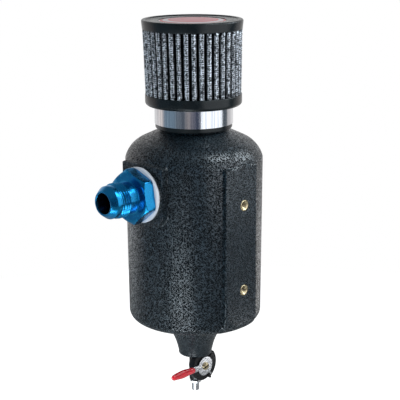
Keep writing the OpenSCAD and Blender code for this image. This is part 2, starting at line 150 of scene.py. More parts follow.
def lengthOf(a, b):
    return a.maths("SQRT", a * a + b * b)


# How far a repeating value is from the middle of its period
def fromMiddle(value):
    return sizeOf(value.maths("FRACT", value) - 0.5)


def noise(place, scale, detail=2.0, rough=0.5):
    inputs = {"Vector": place, "Scale": scale, "Detail": detail, "Roughness": rough}
    return place.node("ShaderNodeTexNoise", inputs)


def step(value, low, high, atLow=0.0, atHigh=1.0):
    inputs = {0: value, 1: low, 2: high, 3: atLow, 4: atHigh}
    return value.node("ShaderNodeMapRange", inputs, interpolation_type="SMOOTHSTEP")


def tint(factor, low, high):
    mixed = factor.node("ShaderNodeMix", data_type="RGBA", out=2)
    made = mixed.socket.node
    factor.to(made.inputs[0])
    for socket, colour in ((made.inputs[6], low), (made.inputs[7], high)):
        if isinstance(colour, Signal):
            colour.to(socket)
        else:
            socket.default_value = (*colour, 1)
    return mixed


def newFinish(name, colour, roughness, **fixed):
    finish = bpy.data.materials.new(name)
    finish.use_nodes = True
    finish.diffuse_color = (*colour, 1)
    tree = finish.node_tree
    shader = tree.nodes["Principled BSDF"]
    shader.inputs["Base Color"].default_value = (*colour, 1)
    shader.inputs["Roughness"].default_value = roughness
    for key, value in fixed.items():
        shader.inputs[key.replace("_", " ")].default_value = value
    place = Signal(tree, tree.nodes.new("ShaderNodeTexCoord").outputs["Object"])
    return finish, shader.inputs, place


# Heights of about 0 to 1 stand proud by a depth in millimetres
def relief(height, depth, sockets):
    height.node("ShaderNodeBump", {"Height": height, "Distance": depth * mm}).to(sockets["Normal"])


# Gloss that wanders between two values of roughness
def wander(place, scale, detail, low, high, sockets):
    step(noise(place, scale, detail), 0.3, 0.7, low, high).to(sockets["Roughness"])


# Leathery grain with painted glints: its winding crests are glossier and lighter, and it fades on the drain
# boss
def grainedPlastic():
    v = {"grain": 1.5, "depth": 0.4, "boss": -75, "fade": 18, "left": 0.3, "even": 0.45}
    finish, sockets, place = newFinish(
        "tankPlastic", (0.010, 0.016, 0.020), 0.42, Specular_IOR_Level=0.2,
        Specular_Tint=(0.75, 0.9, 1.0, 1.0), Coat_Roughness=0.29, Coat_IOR=1.85)
    winding = 1 - 6 * sizeOf(noise(place, 1 / (v["grain"] * mm), 0.0) - 0.5)
    relief(winding + 0.25 * noise(place, 150.0), v["depth"], sockets)
    full = step(axisOf(place, "Z") / mm, v["boss"] - v["fade"], v["boss"], v["left"], 1.0)
    crest = v["even"] + (step(winding, 0.30, 0.85) - v["even"]) * full
    # Painted glints: the crests' lighter colour stands in for light caught on the grain, together with the
    # grain's own tone
    tint(crest, (0.001, 0.002, 0.003), (0.009, 0.024, 0.036)).to(sockets["Base Color"])
    crest.to(sockets["Coat Weight"])
    return finish


def mouldedRubber():
    finish, sockets, place = newFinish("rubber", (0.006, 0.012, 0.014), 0.3, Specular_IOR_Level=0.35)
    tint(noise(place, 160.0, 3.0), (0.002, 0.004, 0.005), (0.006, 0.011, 0.013)).to(sockets["Base Color"])
    relief(noise(place, 1500.0, 3.0), 0.05, sockets)
    wander(place, 120.0, 2.0, 0.22, 0.34, sockets)
    return finish


# Dark cloth under a mesh of wire bright in patches; painted shade darkens both from each pleat's crest into
# the folds
def meshedCloth():
    v = {"pitch": 1.6, "wire": 0.34, "soft": 0.12, "lift": 0.4, "shadeFrom": 0.07, "shadeTo": 0.16}
    finish, sockets, place = newFinish("filterCloth", (0.2, 0.2, 0.2), 0.5)
    cloth = place.node("ShaderNodeUVMap", uv_map="UVMap")
    u, w = (axisOf(cloth, letter) / (v["pitch"] * mm) for letter in "XY")
    half = v["wire"] / 2
    wireU, wireW = (step(fromMiddle(thread), half, half + v["soft"], 1.0, 0.0) for thread in (u, w))
    square = u.maths("FLOOR", u) + u.maths("FLOOR", w)
    over = step(u.maths("SINE", square * math.pi + math.pi / 2), -1.0, 1.0)
    wires = u.maths("MAXIMUM", wireU, wireW)
    height = u.maths("MAXIMUM", wireU * (1 - v["lift"] + v["lift"] * over), wireW * (1 - v["lift"] * over))
    fibres = noise(place, 3000.0, 3.0)
    fold = axisOf(cloth, "X") / (foldedWidth * mm)
    # Painted shade: cloth and wire darken away from each pleat's crest, down into the folds between pleats
    crest = step(fromMiddle(fold), v["shadeFrom"], v["shadeTo"], 1.0, 0.0)
    patchy = step(noise(place, 620.0, 2.0, 0.7), 0.40, 0.58) * crest
    dark = tint(fibres * crest, (0.002, 0.003, 0.004), (0.05, 0.06, 0.075))
    shadedWire = tint(patchy, (0.012, 0.016, 0.02), (0.80, 0.86, 0.94))
    tint(wires, dark, shadedWire).to(sockets["Base Color"])
    (0.7 - 0.35 * wires).to(sockets["Roughness"])
    (wires * 0.4).to(sockets["Metallic"])
    relief(height + 0.15 * fibres, 0.3, sockets)
    return finish


# Fine marks of the tool along an axis, a little unsteady
def toolMarks(place, letter, pitch, waver, scale):
    along = axisOf(place, letter)
    return along.maths("SINE", along * (2 * math.pi / (pitch * mm)) + waver * noise(place, scale, 1.0))


def turnedMetal(name, dark, light, roughness, axis="Z", pitch=0.22, depth=0.008, blotch=90.0, dents=0.0,
                paintedShade=None):
    finish, sockets, place = newFinish(name, light, roughness, Metallic=1.0)
    colour = tint(noise(place, blotch, 3.0), dark, light)
    if paintedShade:
        colour = paintedShade(place, colour)
    colour.to(sockets["Base Color"])
    marks = 0.5 * toolMarks(place, axis, pitch, 3, 200.0)
    relief(marks + noise(place, 1800.0) + dents * noise(place, 520.0), depth, sockets)
    wander(place, 3 * blotch, 3.0, roughness * 0.8, roughness * 1.3, sockets)
    return finish


# Painted shade inside the inserts' threaded holes, and in the slot of the lever's screw
def paintedBrassShade(place, colour):
    v = {"thread": 2.5, "threadEdge": 2.75, "head": 3.3, "headEdge": 3.5, "slot": 0.6, "slotEdge": 0.8,
         "slotTurn": math.radians(16)}
    x, z = (axisOf(place, letter) / mm for letter in "XZ")
    fromInsert = lengthOf(x, sizeOf(z) - insertReach)
    # Painted shade inside each insert's hole
    colour = tint(step(fromInsert, v["thread"], v["threadEdge"]), (0.03, 0.022, 0.012), colour)
    rise = z + (foot + stemDepth)
    fromSlot = sizeOf(rise * math.cos(v["slotTurn"]) - x * math.sin(v["slotTurn"]))
    onHead = step(lengthOf(x, rise), v["head"], v["headEdge"], 1.0, 0.0)
    # Painted shade in the slot of the lever's screw
    return tint(onHead * step(fromSlot, v["slot"], v["slotEdge"], 1.0, 0.0), colour, (0.006, 0.005, 0.004))


# Blue dye over turning marks; painted shade darkens the inside of the bore
def anodisedBlue():
    v = {"bore": 7.8, "boreEdge": 8.3, "dark": 0.12}
    finish, sockets, place = newFinish(
        "blueAnodised", (0.006, 0.26, 0.56), 0.22, Metallic=1.0, Coat_Weight=0.25, Coat_Roughness=0.15)
    fromBore = lengthOf(axisOf(place, "Y") / mm - axisY, axisOf(place, "Z") / mm + foot - portHeight)
    blue = tint(noise(place, 120.0, 3.0), (0.003, 0.20, 0.46), (0.008, 0.30, 0.62))
    # Painted shade: the bore is dark inside
    lit = step(fromBore, v["bore"], v["boreEdge"], v["dark"], 1.0)
    tint(lit, (0.0, 0.004, 0.006), blue).to(sockets["Base Color"])
    relief(0.5 * toolMarks(place, "X", 0.3, 2, 150.0) + noise(place, 1500.0), 0.008, sockets)
    wander(place, 300.0, 3.0, 0.17, 0.28, sockets)
    return finish


def whiteNylon():
    finish, sockets, place = newFinish("whiteNylon", (0.76, 0.78, 0.84), 0.4)
    tint(noise(place, 200.0, 3.0), (0.70, 0.72, 0.80), (0.80, 0.82, 0.87)).to(sockets["Base Color"])
    relief(noise(place, 900.0, 3.0), 0.03, sockets)
    return finish


# Lines round the band from rolling, and upright streaks in its shine
def polishedBand():
    v = {"lines": 9000.0, "streaks": 700.0, "stretch": 0.02}
    finish, sockets, place = newFinish("polishedSteel", (0.80, 0.81, 0.83), 0.13, Metallic=1.0)
    along = {"W": axisOf(place, "Z") * v["lines"], "Scale": 1.0, "Detail": 2.0}
    lines = place.node("ShaderNodeTexNoise", along, noise_dimensions="1D")
    relief(lines + 0.6 * noise(place, 90.0, 1.0), 0.006, sockets)
    drawn = place.node("ShaderNodeVectorMath", {0: place, 1: (1.0, 1.0, v["stretch"])}, operation="MULTIPLY")
    streaks = step(noise(drawn, v["streaks"], 3.0, 0.65), 0.3, 0.7)
    tint(streaks, (0.58, 0.61, 0.66), (0.93, 0.94, 0.95)).to(sockets["Base Color"])
    step(lines, 0.3, 0.7, 0.10, 0.2).to(sockets["Roughness"])
    return finish


def blackCoating():
    finish, sockets, place = newFinish("blackMetal", (0.006, 0.006, 0.007), 0.34, Specular_IOR_Level=0.35)
    tint(noise(place, 300.0, 3.0), (0.003, 0.003, 0.004), (0.010, 0.010, 0.011)).to(sockets["Base Color"])
    relief(noise(place, 1400.0, 3.0, 0.6), 0.06, sockets)
    wander(place, 500.0, 2.0, 0.26, 0.42, sockets)
    return finish


def dippedVinyl():
    finish, sockets, place = newFinish(
        "redVinyl", (0.9, 0.02, 0.04), 0.28, Coat_Weight=0.7, Coat_Roughness=0.14, Coat_IOR=1.6)
    tint(noise(place, 180.0), (0.86, 0.012, 0.028), (0.98, 0.030, 0.050)).to(sockets["Base Color"])
    relief(noise(place, 420.0), 0.08, sockets)
    return finish


# Red rings, given by their outer and inner radius, on a field whose middle is pink
def domedDisc():
    v = {"rings": ((25.7, 23.6), (19.4, 17.4), (9.5, 8.1)), "ringEdge": 0.1, "field": 17.5, "fieldEdge": 0.15}
    finish, sockets, place = newFinish(
        "capDisc", (0.85, 0.6, 0.62), 0.34, Specular_IOR_Level=0.3, Coat_Weight=0.12, Coat_Roughness=0.1)
    out = lengthOf(axisOf(place, "X") / mm, axisOf(place, "Y") / mm - axisY)

    def beyond(radius, edge, atLow=0.0, atHigh=1.0):
        return step(out, radius - edge, radius + edge, atLow, atHigh)
    red = 0.0
    for outer, inner in v["rings"]:
        ring = beyond(inner, v["ringEdge"]) * beyond(outer, v["ringEdge"], 1.0, 0.0)
        red = out.maths("MAXIMUM", ring, red)
    field = tint(beyond(v["field"], v["fieldEdge"]), (0.52, 0.13, 0.16), (0.56, 0.50, 0.51))
    tint(red, field, (0.55, 0.02, 0.035)).to(sockets["Base Color"])
    relief(noise(place, 300.0), 0.02, sockets)
    return finish


def seatPlastic():
    finish, sockets, place = newFinish("seatPlastic", (0.85, 0.85, 0.83), 0.35)
    tint(noise(place, 400.0), (0.80, 0.80, 0.77), (0.88, 0.88, 0.86)).to(sockets["Base Color"])
    return finish


finishes = {
    "tank_plastic": grainedPlastic(),
    "rubber": mouldedRubber(),
    "filter_cloth": meshedCloth(),
    "brass": turnedMetal("brass", (0.50, 0.40, 0.24), (0.80, 0.68, 0.44), 0.24, pitch=0.3, blotch=400.0,
                         dents=6.0, paintedShade=paintedBrassShade),
    "bung_aluminium": turnedMetal("bungAluminium", (0.50, 0.51, 0.53), (0.70, 0.71, 0.73), 0.32, axis="X"),
    "blue_anodised": anodisedBlue(),
    "white_nylon": whiteNylon(),
    "cap_disc": domedDisc(),
    "polished_steel": polishedBand(),
    "clamp_steel": turnedMetal("clampSteel", (0.52, 0.53, 0.55), (0.70, 0.71, 0.73), 0.28, pitch=0.5),
    "black_metal": blackCoating(),
    "seat_plastic": seatPlastic(),
    "plated_steel": turnedMetal("platedSteel", (0.66, 0.67, 0.69), (0.88, 0.88, 0.90), 0.14, axis="Y",
                                pitch=0.4, depth=0.004, blotch=300.0, dents=40.0),
    "red_vinyl": dippedVinyl(),
}
for part in frame["record"]["subparts"]:
    carried = nodes[part["node"]]
    carried.data.materials.clear()
    carried.data.materials.append(finishes[part["material_slot"]])
say("finishes ready")


# Frames of the pieces: each turns a drawing in millimetres into its place on the object
scaled = Matrix.Scale(mm, 4)


def onAxis(height=0.0):
    return scaled @ Matrix.Translation((0, axisY, height - foot))


def onPort():
    return onAxis(portHeight) @ Matrix.Rotation(math.radians(-90), 4, "Y")


def onStem():
    return onAxis(-stemDepth) @ Matrix.Rotation(math.radians(90), 4, "X")


def onInsert(side, depth=0):
    turned = Matrix.Rotation(math.radians(90), 4, "X") @ Matrix.Translation((0, 0, -depth))
    return scaled @ Matrix.Translation((0, 0, insertReach * side)) @ turned


def clamp01(t):
    return min(max(t, 0.0), 1.0)


def easeIn(t):
    t = clamp01(t)
    return t * t * (3 - 2 * t)


def evenTurn(count):
    return [2 * math.pi * i / count for i in range(count)]


def arcPoints(cx, cy, radius, start, end, count):
    turns = [math.radians(start + (end - start) * i / count) for i in range(count + 1)]
    return [(cx + radius * math.cos(a), cy + radius * math.sin(a)) for a in turns]


# An outline with arcs at the corners that give a radius as their third number
def rounded(corners, steps, closed=True):
    made = []
    count = len(corners)
    for i, corner in enumerate(corners):
        here = Vector(corner[:2])
        radius = corner[2] if len(corner) > 2 else 0
        if not radius or (not closed and i in (0, count - 1)):
            made.append(here)
            continue
        back = (Vector(corners[i - 1][:2]) - here).normalized()
        on = (Vector(corners[(i + 1) % count][:2]) - here).normalized()
        half = back.angle(on) / 2
        centre = here + (back + on).normalized() * (radius / math.sin(half))
        start = here + back * (radius / math.tan(half)) - centre
        end = here + on * (radius / math.tan(half)) - centre
        turn = start.angle(end)
        for k in range(steps + 1):
            t = k / steps
            swung = start * math.sin((1 - t) * turn) + end * math.sin(t * turn)
            made.append(centre + swung / math.sin(turn))
    return made


# Faces between rings of points that follow each other
def ringFaces(rings, count):
    faces = []
    for start in range(0, (rings - 1) * count, count):
        for k in range(count):
            j = (k + 1) % count
            faces.append((start + k, start + j, start + count + j, start + count + k))
    return faces


# Rows of points round an axis: each has a height, and a radius or a function of the angle
def wrapRows(rows, angles, joined=True):
    points, faces, starts = [], [], []
    count = len(angles)
    for height, radius in rows:
        starts.append(len(points))
        if not callable(radius) and radius < 1e-6:
            points.append(Vector((0, 0, height)))
            continue
        for angle in angles:
            r = radius(angle) if callable(radius) else radius
            points.append(Vector((r * math.cos(angle), r * math.sin(angle), height)))
    poles = [end - start == 1 for start, end in zip(starts, starts[1:] + [len(points)])]
    pairs = [(i, i + 1) for i in range(len(rows) - 1)] + ([(len(rows) - 1, 0)] if joined else [])
    for low, high in pairs:
        if poles[low] and poles[high]:
            continue
        for i in range(count):
            j = (i + 1) % count
            a, b, c, d = starts[low] + i, starts[low] + j, starts[high] + j, starts[high] + i
            if poles[low]:
                faces.append((starts[low], c, d))
            elif poles[high]:
                faces.append((a, b, starts[high]))
            else:
                faces.append((a, b, c, d))
    return points, faces


def lathe(profile, count, joined=True):
    return wrapRows([(p[1], p[0]) for p in profile], evenTurn(count), joined)


def meshOf(drawing, frameOf, sharp=None):
    points, faces = drawing
    mesh = bpy.data.meshes.new("drawn")
    mesh.from_pydata([frameOf @ p for p in points], [], faces)
    work = bmesh.new()
    work.from_mesh(mesh)
    bmesh.ops.remove_doubles(work, verts=work.verts, dist=1e-7)
    bmesh.ops.recalc_face_normals(work, faces=work.faces)
    work.to_mesh(mesh)
    work.free()
    mesh.shade_smooth()
    if sharp:
        mesh.set_sharp_from_angle(angle=math.radians(sharp))
    return mesh


# The plain mesh that an object's modifiers make; the object goes
def applied(piece):
    bpy.context.view_layer.update()
    made = bpy.data.meshes.new_from_object(piece.evaluated_get(bpy.context.evaluated_depsgraph_get()))
    bpy.data.objects.remove(piece)
    return made


def addPiece(name, mesh, body, slotName, *replaced):
    mesh.name = name
    piece = placed(name, mesh)
    mesh.materials.clear()
    mesh.materials.append(finishes[slotName])
    if replaced:
        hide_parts(*replaced)
    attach(piece, body)


# Tank: one moulded skin whose radius is a rule of height and direction
tank = {
    "radius": 54, "height": 132, "draft": 0.4, "footRound": 7, "shoulderRound": 22.6, "creaseTurn": 14.8,
    "slope": 25, "neckRadius": 25.4, "neckHeight": 19, "neckBore": 22.2, "neckShown": 24}
drainBoss = {
    "radius": 13.6, "depth": 33.5, "edge": 1.2, "straight": 3, "flare": 48, "flareTurn": 10,
    "flareAside": 0.4, "flareUp": 4, "bung": 9, "bungDepth": 16, "bungEdge": 0.4}
mountPad = {
    "half": 16.5, "shift": -3, "top": 132, "edge": 1.5, "proudAtFoot": 1.0, "proudAbove": 3.0, "rise": 13}
portPad = {
    "face": 55.5, "half": 21, "up": 23, "down": 24.5, "roundUp": 2, "roundDown": 12, "edge": 1.3,
    "from": 80, "to": 140, "wrap": 54.8, "bossRadius": 21, "bossFace": 57.7}
hole = {"radius": 4.5, "mouth": 4.95, "depth": 11.2, "edge": 0.25}
# Points lie closer together where the edge of a pad crosses them
spacing = {
    "row": 2.4, "padRow": 0.7, "padRowFrom": 83, "padRowTo": 138, "turn": 2.2, "portTurn": 0.55,
    "portHalf": 26, "edgeTurn": 0.35, "edgeFrom": 14.5, "edgeTo": 20, "mountTurn": 1.5, "mountHalf": 15}


# Underside, from the middle of the drain bung's hole out to the foot of the boss's flare
def drainProfile(v):
    bottom = -v["depth"]
    floor = v["bungDepth"] + bottom
    rim = v["bung"] + v["bungEdge"]
    made = [(0, floor), (v["bung"], floor), (v["bung"], v["bungEdge"] + bottom), (rim, bottom)]
    corners = [(rim, bottom), (v["radius"], bottom, v["edge"]), (v["radius"], v["straight"] + bottom)]
    made += rounded(corners, 4, False)[1:]
    turn = math.radians(v["flareTurn"])
    flareX = v["radius"] + v["flareAside"] + v["flare"] * math.cos(turn)
    flareZ = v["flareUp"] + bottom - v["flare"] * math.sin(turn)
    flareTop = math.degrees(math.asin(-flareZ / v["flare"]))
    return made + arcPoints(flareX, flareZ, v["flare"], 179 - v["flareTurn"], 181 - flareTop, 30)


def tankProfile(v):
    draft, turn, slope = (math.radians(v[key]) for key in ("draft", "creaseTurn", "slope"))
    bend = v["footRound"]
    footX = v["radius"] - (bend + math.sin(draft) * (v["height"] - bend)) / math.cos(draft)
    low = drainProfile(drainBoss) + arcPoints(footX, bend, bend, -89, -v["draft"], 18)
    wall = []
    h = low[-1][1] + spacing["row"]
    while h < v["height"] - 1.5:
        wall.append((v["radius"] - (v["height"] - h) * math.tan(draft), h))
        h += spacing["padRow"] if spacing["padRowFrom"] < h < spacing["padRowTo"] else spacing["row"]
    # the crease between wall and shoulder is eased a little
    wall += [(v["radius"] - 0.005, v["height"] - 0.5), (v["radius"] - 0.02, v["height"] - 0.15)]
    shoulderX = v["radius"] - v["shoulderRound"] * math.cos(turn)
    shoulderZ = v["height"] - v["shoulderRound"] * math.sin(turn)
    shoulder = arcPoints(
        shoulderX, shoulderZ, v["shoulderRound"], v["creaseTurn"] + 0.9, 90 - v["slope"], 44)
    coneX = shoulderX + v["shoulderRound"] * math.sin(slope)
    coneZ = shoulderZ + v["shoulderRound"] * math.cos(slope)
    neckFoot = coneZ + (coneX - v["neckRadius"]) * math.tan(slope)
    top = neckFoot + v["neckHeight"]
    neck = [
        (v["neckRadius"] + 0.8, neckFoot - 0.37), (v["neckRadius"] + 0.2, neckFoot + 0.1),
        (v["neckRadius"], neckFoot + 0.8), (v["neckRadius"], top), (v["neckBore"], top),
        (v["neckBore"], top - v["neckShown"]), (0, top - v["neckShown"])]
    return low + wall + shoulder + neck


# Distance to the edge of the fitting's pad, below zero inside it
def fromPad(u, w):
    v = portPad
    radius, reach = (v["roundUp"], v["up"]) if w > 0 else (v["roundDown"], v["down"])
    a = abs(u) - v["half"] + radius
    b = abs(w) - reach + radius
    return min(max(a, b), 0.0) + math.hypot(max(a, 0.0), max(b, 0.0)) - radius


def onMountPad(r, height, turn):
    v = mountPad
    bend = tank["footRound"]
    plane = tank["radius"]
    if height < bend:
        plane += math.sqrt(bend ** 2 - (bend - max(height, 0.0)) ** 2) - bend
    away = max(abs(r * math.sin(turn) - v["shift"]) - v["half"], height - v["top"])
    most = v["proudAtFoot"] + v["proudAbove"] * easeIn((height - 1) / v["rise"])
    return min(max(plane / math.cos(turn) - r, 0.0), most) * easeIn(0.5 - away / v["edge"])


def onPortPad(r, height, turn):
    away = fromPad(portPad["wrap"] * math.sin(turn), height - portHeight)
    return max(portPad["face"] / math.cos(turn) - r, 0.0) * easeIn(0.5 - away / portPad["edge"])


# The boss, the underside and the neck's bore stay round; the wall and shoulder grow the two pads
def tankRadius(r, height):
    if r < 20 or height < -2 or (r < 46.1 and height < tank["footRound"]):
        return r

    def radius(angle):
        grown = r
        turn = angle - 1.5 * math.pi  # from -Y, the mounting face
        if math.cos(turn) > 0.8:
            grown += onMountPad(r, height, turn)
        turn = angle - math.pi  # from -X, the hose fitting
        if math.cos(turn) > 0.8 and portPad["from"] < height < portPad["to"]:
            grown += onPortPad(r, height, turn)
        return grown
    return radius


def tankAngles():
    v = spacing
    angles = []
    a = 0.0
    while a < 359.5:
        angles.append(math.radians(a))
        mount = abs(a - 270 - math.degrees(mountPad["shift"] / tank["radius"]))
        if abs(a - 180) < v["portHalf"]:
            a += v["portTurn"]
        elif v["edgeFrom"] < mount < v["edgeTo"]:
            a += v["edgeTurn"]
        else:
            a += v["mountTurn"] if mount < v["mountHalf"] else v["turn"]
    return angles


def makeTank():
    v = hole
    rows = [(h, tankRadius(r, h)) for r, h in tankProfile(tank)]
    piece = placed("tankSkin", meshOf(wrapRows(rows, tankAngles(), False), onAxis()))
    outline = [(0, -v["depth"]), (v["radius"], -v["depth"]), (v["radius"], -v["edge"]), (v["mouth"], 0.3),
               (v["mouth"], 3), (0, 3)]
    cutters = []
    for side in (-1, 1):
        cutter = placed("hole", meshOf(lathe(outline, 72, False), onInsert(side)))
        cut = piece.modifiers.new("hole", "BOOLEAN")
        cut.operation = "DIFFERENCE"
        cut.solver = "EXACT"
        cut.object = cutter
        cutters.append(cutter)
    mesh = applied(piece)
    mesh.set_sharp_from_angle(angle=math.radians(50))
    for cutter in cutters:
        bpy.data.objects.remove(cutter)
    addPiece("tankSkin", mesh, "tank", "tank_plastic", "tank_shell")


makeTank()
say("tank moulded")


# Threads: how far the surface stands below the crest, for a height along the axis and an angle
def threadDip(height, angle, pitch, depth):
    t = (height / pitch - angle / (2 * math.pi)) % 1.0
    return depth * clamp01((abs(t - 0.5) * 2 - 0.12) / 0.76)


# Brass inserts: knurled outside, chamfered and threaded inside
insert = {
    "radius": 4.5, "length": 11, "hole": 2.6, "pitch": 1.0, "threadDepth": 0.45, "perTurn": 9, "mouth": 0.62,
    "floor": 2.4, "knurl": 26, "knurlDepth": 0.3}


def makeInsert(name, node, side):
    v = insert
    length = v["length"]

    def knurled(angle):
        return v["radius"] - v["knurlDepth"] * abs((angle * v["knurl"] / (2 * math.pi)) % 1.0 - 0.5) * 2

    def inside(height):
        return lambda angle: v["hole"] - 0.05 + threadDip(height, angle, v["pitch"], v["threadDepth"])
    rows = [
        (0, 0.0), (0, 4.0), (0.4, knurled), (length - 0.45, knurled), (length - 0.12, 4.12), (length, 3.95),
        (length, 3.5), (length - 0.06, 3.42)]
    height = length - v["mouth"]
    while height > v["floor"]:
        rows.append((height, inside(height)))
        height -= v["pitch"] / v["perTurn"]
    rows += [(2.2, 2.3), (1.4, 0.0)]
    drawing = wrapRows(rows, evenTurn(v["knurl"] * 4), False)
    addPiece(name, meshOf(drawing, onInsert(side, length), 40), "tank", "brass", node)


makeInsert("insertUpper", "insert_upper", 1)
makeInsert("insertLower", "insert_lower", -1)
say("inserts turned")


# Hose fitting: hexagon, thread, collar and flared nose round one bore; lengths run from the tank's axis
fitting = {
    "washer": 21.4, "washerBore": 13.1, "hexStart": 60.3, "hexLength": 9.4, "flats": 37.4, "turn": 9.5,
    "neck": 12, "threadStart": 77.3, "threadEnd": 85.5, "thread": 13.48, "threadDepth": 1.15, "pitch": 2.117,
    "perTurn": 11, "runOut": 1.1, "collarStart": 86.9, "collar": 12.5, "nose": 4.7, "tip": 9.4, "bore": 7.75,
    "boreDepth": 16, "length": 94.8}
hexOffsets = (0, 0.5, 1.2, 2.2, 4, 7, 11, 15, 19, 23, 27, 30)  # degrees from a corner, closer at the corner


# Hexagon with its corners turned down by so much
def hexagon(v, cut):
    limit = v["flats"] / 2 / math.cos(math.radians(30)) - cut

    def radius(angle):
        turned = (math.degrees(angle) - v["turn"]) % 60
        return min(v["flats"] / 2 / math.cos(math.radians(turned - 30)), limit)
    return radius


def fittingThread(v, height):
    rise = clamp01(min(height - v["threadStart"], v["threadEnd"] - height) / v["runOut"])
    full = v["neck"] + (v["thread"] - v["neck"]) * rise
    return lambda angle: max(full - threadDip(height, angle, v["pitch"], v["threadDepth"]) * rise, v["neck"])


def fittingRows(v):
    start, end, neck, bore = v["hexStart"], v["hexStart"] + v["hexLength"], v["neck"], v["bore"]
    rows = [
        (start, 13.2), (start, hexagon(v, 1.6)), (start + 0.25, hexagon(v, 0.9)),
        (start + 1.1, hexagon(v, 0.2)), (end - 1.7, hexagon(v, 0.2)), (end - 0.9, hexagon(v, 1.1)),
        (end - 0.18, hexagon(v, 2.4)), (end, hexagon(v, 2.8)), (end, 16.2), (end - 0.06, 14.4), (end, 12.6),
        (end + 0.15, 12.2), (end + 0.6, neck), (v["threadStart"] - 0.1, neck)]
    height = v["threadStart"]
    while height < v["threadEnd"]:
        rows.append((height, fittingThread(v, height)))
        height += v["pitch"] / v["perTurn"]
    ring, collar, tip, length = v["collarStart"], v["collar"], v["tip"], v["length"]
    rows += [
        (v["threadEnd"] + 0.1, neck), (ring - 0.25, neck), (ring - 0.05, neck + 0.1),
        (ring + 0.1, collar - 0.2), (ring + 0.3, collar), (length - v["nose"], collar),
        (length - v["nose"] + 0.35, collar - 0.18), (length - 0.5, tip + 0.2), (length - 0.15, tip - 0.12),
        (length, tip - 0.5), (length, bore + 0.75), (length - 0.15, bore + 0.4), (length - 0.7, bore),
        (start - v["boreDepth"], bore), (start - v["boreDepth"], bore + 2), (start, bore + 2)]
    return rows


def makeFitting():
    v = fitting
    offsets = hexOffsets + tuple(60 - offset for offset in reversed(hexOffsets[1:-1]))
    angles = [math.radians(side * 60 + v["turn"] + offset) for side in range(6) for offset in offsets]
    mesh = meshOf(wrapRows(fittingRows(v), angles), onPort(), 38)
    addPiece("hoseFitting", mesh, "tank", "blue_anodised", "inlet_fitting")


def makeWasher():
    v, face = fitting, portPad["bossFace"]
    ring = rounded([
        (v["washerBore"], face), (v["washer"], face, 0.4), (v["washer"], v["hexStart"], 0.7),
        (v["washerBore"], v["hexStart"])], 3)
    addPiece("sealingWasher", meshOf(lathe(ring, 120), onPort(), 50), "tank", "white_nylon", "sealing_washer")


def makePortBoss():
    v, hollow = portPad, fitting["washerBore"]
    radius, face = v["bossRadius"], v["face"]
    boss = rounded([
        (hollow, tank["radius"]), (radius + 0.5, tank["radius"]), (radius + 0.5, face + 0.05),
        (radius, face + 0.5, 0.4), (radius, v["bossFace"], 0.5), (hollow, v["bossFace"])], 3)
    addPiece("portBoss", meshOf(lathe(boss, 120), onPort(), 50), "tank", "tank_plastic")


makeFitting()
makeWasher()
makePortBoss()
say("hose fitting threaded")


# Vent filter: rubber base and top moulded on the folded cloth; heights run from the tank's underside
vent = {
    "lip": 155.31, "neckTop": 173.31, "baseTop": 182.01, "capBottom": 231.41, "top": 238.91, "flange": 30,
    "baseRadius": 37.6, "capRadius": 39.2, "rim": 3, "disc": 26, "discDown": 2, "dome": 1.1, "lean": 0.7}
pleat = {
    "count": 40, "radius": 38.4, "taper": 1.2, "depth": 8.6, "thick": 0.7, "tucked": 0.3, "rows": 12,
    "steps": 22, "uneven": 0.45, "sway": 2.6, "puff": 1.2, "waist": 0.004, "seed": 4.0, "start": -0.36}


# The filter stands a little askew on its neck, to the left as the camera sees it
def leaned(mesh):
    turn = math.radians(view["azimuth"])
    for corner in mesh.vertices:
        rise = (corner.co.z / mm + foot - vent["neckTop"]) / (vent["top"] - vent["neckTop"])
        shift = vent["lean"] * mm * clamp01(rise)
        corner.co.x -= shift * math.cos(turn)
        corner.co.y -= shift * math.sin(turn)
    return mesh


def addTurned(name, profile, count, slotName, node, joined=False):
    mesh = leaned(meshOf(lathe(profile, count, joined), onAxis(), 45))
    addPiece(name, mesh, "tank", slotName, node)


def makeBase():
    v, neck, bore = vent, tank["neckRadius"], tank["neckBore"]
    base = rounded([
        (neck, v["lip"]), (v["flange"], v["lip"], 1.2), (v["flange"], v["neckTop"], 0.5),
        (v["baseRadius"], v["neckTop"], 2.6), (v["baseRadius"], v["baseTop"], 0.7), (bore, v["baseTop"]),
        (bore, v["neckTop"]), (neck, v["neckTop"])], 6)
    addTurned("filterBase", base, 160, "rubber", "filter_base", True)


def makeTopCap():
    v, top, floor = vent, vent["top"], vent["top"] - vent["discDown"]
    inner, seat = v["capRadius"] - v["rim"], v["disc"] + 0.1
    cap = rounded([
        (0, v["capBottom"]), (v["capRadius"] - 0.8, v["capBottom"], 0.6), (v["capRadius"], top, 1.3),
        (inner, top, 0.7), (inner - 0.8, top - 0.8, 0.4), (seat, top - 0.8, 0.3), (seat, floor), (0, floor)],
        5, False)
    addTurned("filterTopCap", cap, 160, "rubber", "filter_top_cap")


def makeDisc():
    v, radius, edge = vent, vent["disc"], vent["top"] - vent["discDown"]
    dome = (radius ** 2 + v["dome"] ** 2) / (2 * v["dome"])
    span = math.degrees(math.asin(radius / dome))
    crown = edge + 0.9 + v["dome"]
    disc = [(0, edge), (radius - 0.1, edge), (radius, edge + 0.2), (radius, edge + 0.75)]
    disc += arcPoints(0, crown - dome, dome, 90.5 - span, 90, 10)[:-1] + [(0, crown)]
    addTurned("capDisc", disc, 120, "cap_disc", "cap_disc")


# A value bent by a curve through some points, of which the second half mirrors the first
def curved(value, half, flipped):
    points = half + [(1 - x, 1 - y if flipped else y) for x, y in reversed(half[:-1])]
    made = value.node("ShaderNodeFloatCurve", {1: value})
    mapping = made.socket.node.mapping
    line = mapping.curves[0].points
    line[0].location = points[0]
    line[1].location = points[-1]
    for x, y in points[1:-1]:
        line.new(x, y)
    for point in line:
        point.handle_type = "AUTO_CLAMPED"
    mapping.update()
    return made


